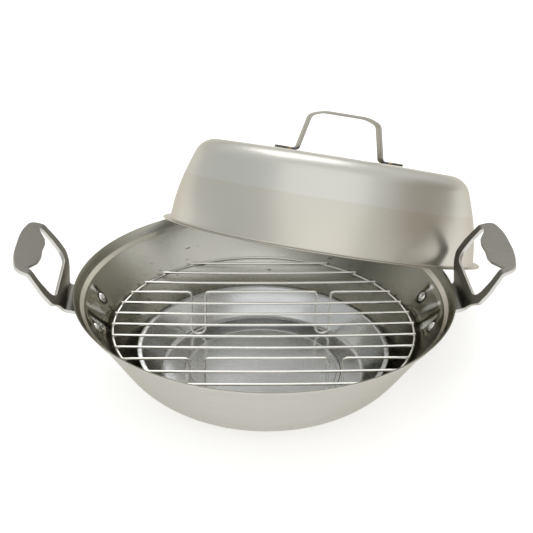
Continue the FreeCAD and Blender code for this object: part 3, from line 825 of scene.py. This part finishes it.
# ---------------------------------------------------------------- side handles
class SMOKER_OT_handles(bpy.types.Operator):
    """Punch, round and bend the two side handles"""
    bl_idname = "smoker.handles"
    bl_label = "Side handles"

    def execute(self, context):
        sizes = context.scene.smoker_handle
        bowl = context.scene.smoker_bowl
        for side, name in ((1, "right"), (-1, "left")):
            bm = self.bent(sizes, bowl)
            if side < 0:
                bmesh.ops.scale(bm, vec=(-1, 1, 1), verts=bm.verts)
            piece = finish_mesh("side_handle_" + name, bm, "bowl",
                                ["handle_" + name], "handle_tumbled", SHEET_EDGE_ANGLE)
            edge_highlight(piece, "handle_edge_highlight")
        return {"FINISHED"}

    def bent(self, sizes, bowl):
        """The right handle, bent from its blank."""
        rim, top = bowl.rim_radius, bowl.height
        low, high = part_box("handle_right")
        tan = math.tan(bowl.wall_angle)
        # a spot on the outside of the straight wall, above the curve at its foot
        wall = offset_path(bowl_path(bowl), bowl.sheet)
        spot = next(p for p in wall if p.y > 40 * MM)

        def wall_x(z):
            """Face of the plate, just clear of the wall, at a height."""
            return spot.x - (spot.y - z) * tan + 0.1 * MM

        grip = Vector((math.cos(sizes.grip_slope), math.sin(sizes.grip_slope)))
        fold = Vector((rim + 26.0 * MM, top + 34.2 * MM))
        tip_x = rim + 41.0 * MM
        plate_low, plate_high, shelf = top - 34 * MM, top - 11 * MM, top - 7.5 * MM
        # plate up the wall, shelf under the lip, knee, and the arms up to the fold of the grip
        points = [(wall_x(plate_low), plate_low), (wall_x(plate_high), plate_high),
                  (rim + 5.4 * MM, top - 8 * MM), (rim + 6.75 * MM, top + 4.9 * MM),
                  tuple(fold), tuple(fold + grip * (30 * MM))]
        path = BentPath(points, [r * MM for r in (6, 3, 18, 6)])
        straight = 0.001    # radians from which a run counts as bent
        fold_end = next(i for i, p in enumerate(path.points) if p.x > fold.x + 1.0 * MM
                        and unit2(p, path.points[i + 1]).angle(grip) < straight)
        grip_from, grip_length = path.points[fold_end], path.lengths[fold_end]

        def by_height(z):
            """Length along the path at a height."""
            return path.length_where(z, 1)

        def on_grip(x):
            """Length along the path at a place on the flat grip."""
            return grip_length + (x - grip_from.x) / grip.x

        # halves of the outlines of blank and finger opening: length along the path, half width
        plate_top, shelf_end = by_height(plate_high), by_height(shelf)
        outline = [(0, 0), (0, sizes.plate), (plate_top - 2.2 * MM, sizes.plate),
                   (plate_top - 0.6 * MM, sizes.neck), (shelf_end, sizes.neck),
                   (by_height(top + 10 * MM), 44.8 * MM), (by_height(top + 19.1 * MM), 46.3 * MM),
                   (on_grip(fold.x + 1.5 * MM), 43.0 * MM), (on_grip(tip_x - 4.8 * MM), 41.5 * MM),
                   (on_grip(tip_x), 21 * MM), (on_grip(tip_x), 0)]
        outline = rounded(outline, [r * MM for r in (5, 0.9, 0.9, 2.5, 6, 18, 9, 9, 105)], 8)
        opening = [(by_height(top + 8.8 * MM), 0), (by_height(top + 8.8 * MM), 34.8 * MM),
                   (by_height(fold.y - 10 * MM), 36.2 * MM),
                   (on_grip(fold.x + 3.2 * MM), 34.2 * MM),
                   (on_grip(fold.x - 3.6 * MM), 19.1 * MM),
                   (on_grip(fold.x - 4.8 * MM), 11.2 * MM), (on_grip(fold.x - 4.2 * MM), 0)]
        opening = rounded(opening, [r * MM for r in (10, 12, 1.0, 8, 9)], 8)
        bm = blank([both_sides(outline), both_sides(opening)], sizes.sheet, sizes.edge)
        cuts = path.lengths[1:fold_end + 1]
        cuts += [plate_top * i / 6 for i in range(1, 6)]
        cuts += [plate_top + (shelf_end - plate_top) * i / 5 for i in range(1, 5)]
        cut_at(bm, sorted(cuts), 0)
        cut_at(bm, [y * 5.0 * MM for y in range(-10, 11)], 1)
        # bend: the grip and its tongue stay flat, the plate wraps round the wall
        tongue_from, tongue_half = grip_length - 9 * MM, 33.4 * MM
        for vert in bm.verts:
            length, y, depth = vert.co
            tongue = tongue_from < length < grip_length and abs(y) < tongue_half
            if length >= grip_length or tongue:
                place = grip_from + grip * (length - grip_length)
                normal = Vector((grip.y, -grip.x))
            else:
                place, normal = path.at(length)
            place = place + normal * depth
            wrap = min(max((shelf_end - length) / (shelf_end - plate_top), 0.0), 1.0)
            wrap = wrap * wrap * (3 - 2 * wrap)
            back = place.x - math.sqrt(place.x ** 2 - y * y)
            vert.co = (place.x - back * wrap, y, place.y)
        return bm


class SMOKER_OT_rivets(bpy.types.Operator):
    """Turn the rivets and set them in the wall"""
    bl_idname = "smoker.rivets"
    bl_label = "Rivets"

    def execute(self, context):
        sizes = context.scene.smoker_handle
        bowl = context.scene.smoker_bowl
        half, shank = sizes.rivet_head / 2, 2.0 * MM
        # dome of a head: share of its radius, height in millimetres
        head = [(0, 2.2), (0.25, 2.13), (0.5, 1.86), (0.72, 1.38), (0.88, 0.82), (0.97, 0.36),
                (1, 0.03)]
        for node in RIVETS:
            low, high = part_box(node)
            middle = (low + high) / 2
            heading = math.atan2(middle.y, middle.x)
            out = Vector((math.cos(bowl.wall_angle) * math.cos(heading),
                          math.cos(bowl.wall_angle) * math.sin(heading),
                          -math.sin(bowl.wall_angle)))
            # the two heads are alike, so the middle of the box is the middle of the rivet
            reach = (bowl.sheet + sizes.sheet + 0.1 * MM) / 2
            section = [(half * r, -reach - h * MM) for r, h in head]
            section += [(shank, -reach), (shank, reach)]
            section += [(half * r, reach + h * MM) for r, h in reversed(head)]
            bm = bmesh.new()
            spin_section(bm, [Vector(p) for p in section], 48)
            turn = out.to_track_quat("Z", "Y").to_matrix().to_4x4()
            bmesh.ops.transform(bm, matrix=Matrix.Translation(middle) @ turn, verts=bm.verts)
            finish_mesh(node.replace("rivet", "rivet_head"), bm, "bowl", [node],
                        "rivet_bright", RIVET_EDGE_ANGLE)
        return {"FINISHED"}


class SMOKER_OT_strap(bpy.types.Operator):
    """Bend the lid's strap handle and weld it to the crown"""
    bl_idname = "smoker.strap"
    bl_label = "Strap handle"

    def execute(self, context):
        sizes = context.scene.smoker_handle
        lid = context.scene.smoker_lid
        crown = lid.height
        # half of the strip, from the end of its foot up to the flat top
        half = [(58.0 * MM, crown + sizes.strap), (39.5 * MM, crown + sizes.strap),
                (32.2 * MM, crown + 33.8 * MM), (21.0 * MM, crown + 38.3 * MM)]
        points = [(-x, z) for x, z in half] + list(reversed(half))
        path = BentPath(points, [r * MM for r in (2.2, 7.6, 30, 30, 7.6, 2.2)])
        end, wide, corner = path.lengths[-1], sizes.strap_width / 2, 3.0 * MM
        outline = rounded([(0, 0), (0, wide), (end, wide), (end, 0)], [corner, corner], 6)
        bm = blank([both_sides(outline)], sizes.strap, 0.5 * MM)
        cut_at(bm, path.lengths[1:-1], 0)
        for vert in bm.verts:
            place, normal = path.at(vert.co.x)
            place = place + normal * vert.co.z
            vert.co = (place.x + STRAP_SHIFT, vert.co.y, place.y)
        place, turn = lid_placement(lid)
        matrix = (Matrix.Translation(place) @ turn.to_4x4()
                  @ Matrix.Rotation(sizes.strap_turn, 4, "Z"))
        bmesh.ops.transform(bm, matrix=matrix, verts=bm.verts)
        piece = finish_mesh("strap_handle", bm, "lid", ["lid_handle"],
                            "strap_polished", SHEET_EDGE_ANGLE)
        edge_highlight(piece, "strap_edge_highlight")
        return {"FINISHED"}


# ---------------------------------------------------------------- stage
class SMOKER_OT_stage(bpy.types.Operator):
    """Place the floor, the lamps and the camera"""
    bl_idname = "smoker.stage"
    bl_label = "Stage"

    def execute(self, context):
        scene = context.scene
        scene.view_settings.view_transform = "Standard"
        bm = bmesh.new()
        bmesh.ops.create_grid(bm, x_segments=1, y_segments=1, size=6.0)
        mesh = bpy.data.meshes.new("floor")
        bm.to_mesh(mesh)
        bm.free()
        floor = bpy.data.objects.new("floor", mesh)
        scene.collection.objects.link(floor)
        mesh.materials.append(bpy.data.materials["floor_white"])
        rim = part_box("bowl")[1].z
        eye = Vector((-0.041366, -0.803152, 0.437389 + rim))
        ahead = Vector((0.046776, 0.885567, -0.462150)).normalized()
        side = ahead.cross(Vector((0, 0, 1))).normalized()
        above = side.cross(ahead)
        roll = math.radians(1.368)
        right = side * math.cos(roll) + above * math.sin(roll)
        up = above * math.cos(roll) - side * math.sin(roll)
        camera = bpy.data.objects.new("camera", bpy.data.cameras.new("camera"))
        scene.collection.objects.link(camera)
        turn = Matrix((right, up, -ahead)).transposed()
        camera.matrix_world = Matrix.Translation(eye) @ turn.to_4x4()
        camera.data.sensor_width = SENSOR
        camera.data.lens = LENS * SENSOR
        scene.camera = camera
        for name, place, target, size, power in (
                ("key", (-0.2, -1.6, 2.3), (0, 0.05, 0.05), 3.6, 13.0),
                ("front", (-0.2, -2.6, 0.75), (0, 0.1, 0.06), 2.0, 3.0),
                ("back", (0.0, 2.1, 2.2), (0, 0.1, 0.1), 1.6, 13.0)):
            data = bpy.data.lights.new(name, "AREA")
            data.shape = "SQUARE"
            data.size = size
            data.energy = power
            lamp = bpy.data.objects.new(name, data)
            scene.collection.objects.link(lamp)
            lamp.location = place
            lamp.rotation_mode = "QUATERNION"
            lamp.rotation_quaternion = (Vector(target) - Vector(place)).to_track_quat("-Z", "Y")
        return {"FINISHED"}


class SMOKER_OT_finishes(bpy.types.Operator):
    """Mix the finishes of the steel and the floor"""
    bl_idname = "smoker.finishes"
    bl_label = "Finishes"

    def execute(self, context):
        colours = context.scene.smoker_finish
        lid = context.scene.smoker_lid
        place, turn = lid_placement(lid)
        spun_grain_group()
        straight_grain_group()
        smudge_group()
        steel("bowl_satin", colours.bowl, roughness=0.36, bump=0.05, spread=0.04, smudge=0.03,
              turned=0.8)
        # painted shade inside the bowl, with painted light on its back wall
        steel("bowl_inside_painted_light_and_shade", INSIDE_PAINTED_SHADE, roughness=0.20, bump=0.05, spread=0.05, smudge=0.03,
              turned=0.6, inside=BACK_PAINTED_LIGHT)
        # painted light: the lid's inside is much lighter than its outside, so that the bowl's back
        # wall reflects it bright
        steel("lid_inside_painted_light", (0.97, 0.96, 0.94), roughness=0.12, bump=0.05, spread=0.04)
        steel("lid_satin", colours.lid, roughness=0.30, centre=place, tilt=turn, bump=0.05,
              spread=0.04, smudge=0.03, turned=0.25,
              band=(BAND_HEIGHT, tuple(c * k for c, k in zip(colours.lid, BAND_SHARES))))
        on_lid = {"grain": "straight", "centre": place, "tilt": turn, "bump": 0.1,
                  "welds": (lid.height, tuple(colours.tint))}
        # painted highlight: the strap's edges are a lighter copy of its steel
        steel("strap_edge_highlight", scaled(colours.strap, 1.2), roughness=0.25, stretch=TUMBLED, **on_lid)
        steel("strap_polished", colours.strap, roughness=0.22, stretch=(100, 500, 500), **on_lid)
        for name, colour, roughness, stretch, bump in (
                ("pan_brushed", colours.pan, 0.14, (25, 1400, 1400), 0.3),
                ("wire_bright", colours.wire, 0.06, (200, 200, 200), 0.0),
                ("rivet_bright", scaled(colours.wire, 0.75), 0.12, TUMBLED, 0.0),
                ("handle_tumbled", colours.handle, 0.34, TUMBLED, 0.2),
                # painted highlight: the handles' edges are a much lighter copy of their steel
                ("handle_edge_highlight", (0.62, 0.61, 0.58), 0.3, TUMBLED, 0.1)):
            steel(name, colour, roughness, grain="straight", stretch=stretch, bump=bump)
        self.floor()
        self.tent(context)
        return {"FINISHED"}

    def floor(self):
        """White floor; it shows white in the picture and in the steel, and keeps shadows."""
        floor = bpy.data.materials.new("floor_white")
        floor.use_nodes = True
        net = Net(floor.node_tree)
        shader = net.nodes["Principled BSDF"].inputs
        shader["Base Color"].default_value = (0.86, 0.86, 0.86, 1)
        shader["Roughness"].default_value = 0.9
        shader["Specular IOR Level"].default_value = 0.0
        shader["Emission Color"].default_value = (1, 1, 1, 1)
        rays = net.nodes.new("ShaderNodeLightPath").outputs
        seen = net.calc("MAXIMUM", rays["Is Camera Ray"], rays["Is Glossy Ray"])
        seen = net.calc("MAXIMUM", seen, rays["Is Transmission Ray"])
        net.feed(shader["Emission Strength"], net.times(seen, FLOOR_GLOW))

    def tent(self, context):
        """Cloth of the light tent: white low down, greyer above, darker and warmer at the right.

        The camera sees it as plain white.
        """
        world = bpy.data.worlds.new("studio")
        context.scene.world = world
        world.use_nodes = True
        net = Net(world.node_tree)
        x, y, z = net.split(net.nodes.new("ShaderNodeTexCoord").outputs["Generated"])
        cloth = (0.97, 0.97, 0.945)
        for where, low, high, colour in (
                (z, 0.10, 0.26, (0.66, 0.65, 0.605)),                   # above eye level
                (z, 0.55, 0.66, (0.74, 0.74, 0.72)),                    # overhead
                (y, 0.20, 0.85, (0.84, 0.84, 0.83)),                    # behind the smoker
                (net.times(x, -1.0), 0.35, 0.90, (0.64, 0.65, 0.64)),   # left
                (x, 0.62, 0.90, (0.40, 0.365, 0.31))):                  # right
            cloth = net.mix(cloth, colour, net.step(where, low, high))
        seen = net.nodes.new("ShaderNodeLightPath").outputs["Is Camera Ray"]
        net.feed(net.nodes["Background"].inputs[0], net.mix(cloth, (1.0, 1.0, 1.0), seen))


class SMOKER_PT_panel(bpy.types.Panel):
    """Lists the operators of the smoker"""
    bl_label = "Stovetop Smoker"
    bl_idname = "SMOKER_PT_panel"
    bl_space_type = "VIEW_3D"
    bl_region_type = "UI"
    bl_category = "Smoker"

    def draw(self, context):
        for operator in OPERATORS:
            self.layout.operator(operator.bl_idname)


GROUPS = {"smoker_bowl": SmokerBowlSizes, "smoker_handle": SmokerHandleSizes,
          "smoker_pan": SmokerPanSizes, "smoker_rack": SmokerRackSizes,
          "smoker_lid": SmokerLidSizes, "smoker_finish": SmokerFinish}
OPERATORS = [SMOKER_OT_finishes, SMOKER_OT_bowl, SMOKER_OT_handles, SMOKER_OT_rivets,
             SMOKER_OT_pan, SMOKER_OT_rack, SMOKER_OT_lid, SMOKER_OT_strap, SMOKER_OT_stage]


def register():
    """Register the classes and hang the sizes on the scene."""
    for cls in [*GROUPS.values(), *OPERATORS, SMOKER_PT_panel]:
        bpy.utils.register_class(cls)
    for name, cls in GROUPS.items():
        setattr(bpy.types.Scene, name, bpy.props.PointerProperty(type=cls))


def unregister():
    """Undo register."""
    for name in GROUPS:
        delattr(bpy.types.Scene, name)
    for cls in reversed([*GROUPS.values(), *OPERATORS, SMOKER_PT_panel]):
        bpy.utils.unregister_class(cls)


def main():
    """Build everything in order."""
    register()
    for operator in OPERATORS:
        group, name = operator.bl_idname.split(".")
        getattr(getattr(bpy.ops, group), name)()


if __name__ == "__main__":
    main()
